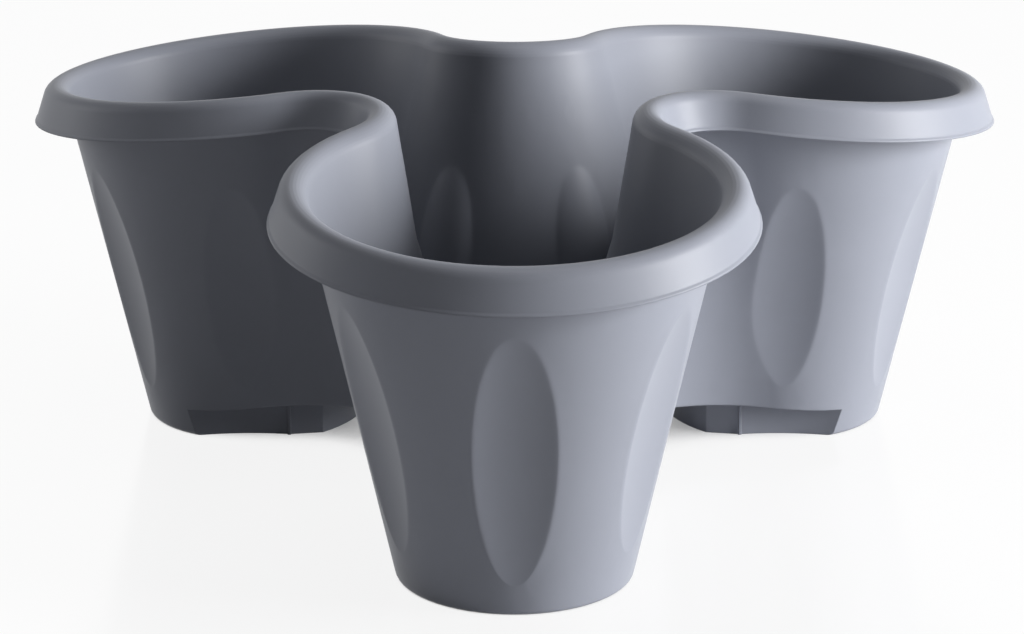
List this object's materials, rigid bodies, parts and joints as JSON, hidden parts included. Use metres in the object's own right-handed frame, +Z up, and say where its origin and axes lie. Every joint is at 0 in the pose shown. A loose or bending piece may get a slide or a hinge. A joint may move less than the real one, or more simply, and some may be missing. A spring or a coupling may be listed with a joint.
{
  "type": "indoor herb planter",
  "caption": "Stackable clover-shaped herb planter with round lobes, hollow waists, a rolled lip, leaf-shaped flutes, a ribbed foot under each lobe and push-in drain plugs.",
  "frame": {"origin": "on the axis of the three lobes, at the ground that the foot stands on", "axes": "+Z up along the axis of the three lobes; one lobe points along -Y, towards the front"},
  "size_m": [0.3804, 0.3526, 0.1518],
  "materials": {
    "planter_plastic": "satin moulded",
    "plug_rubber": "matte"
  },
  "bodies": {
    "planter": {"planter_body": "planter_plastic"},
    "front_plug": {"drain_plug_front": "plug_rubber"},
    "right_plug": {"drain_plug_right": "plug_rubber"},
    "left_plug": {"drain_plug_left": "plug_rubber"}
  },
  "joints": [
    {"name": "front_plug_pull", "type": "slide", "parent": "planter", "child": "front_plug", "axis": [0, 0, 1], "range_m": [0, 0.03]},
    {"name": "right_plug_pull", "type": "slide", "parent": "planter", "child": "right_plug", "axis": [0, 0, 1], "range_m": [0, 0.03]},
    {"name": "left_plug_pull", "type": "slide", "parent": "planter", "child": "left_plug", "axis": [0, 0, 1], "range_m": [0, 0.03]}
  ]
}
